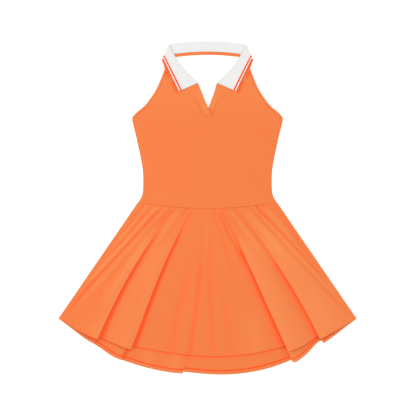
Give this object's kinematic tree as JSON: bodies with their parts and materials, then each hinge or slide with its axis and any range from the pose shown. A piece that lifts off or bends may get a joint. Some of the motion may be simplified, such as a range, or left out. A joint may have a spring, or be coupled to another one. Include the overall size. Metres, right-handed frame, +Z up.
{
  "type": "tennis dress",
  "caption": "Sleeveless orange knit tennis dress lying flat, with a white ribbed polo collar, a V placket and a flared skirt that hangs longer at the back.",
  "frame": {"origin": "On the floor under the middle of the dress: the centre of its bounding box seen from above, at the height of the back's underside.", "axes": "+X across the dress towards the right of the picture, which is the wearer's left. +Y along it from the hem towards the neck. +Z up from the floor, out of the front."},
  "size_m": [0.7586, 0.8473, 0.0154],
  "materials": {
    "orange_knit": "matte knit",
    "white_rib": "matte rib knit"
  },
  "bodies": {
    "root": {"front_bodice": "orange_knit", "back_bodice": "orange_knit", "front_skirt": "orange_knit", "back_skirt": "orange_knit", "placket_over": "orange_knit", "placket_under": "orange_knit", "armhole_binding_left": "orange_knit", "armhole_binding_right": "orange_knit", "neck_band": "orange_knit", "collar": "white_rib"}
  },
  "joints": []
}
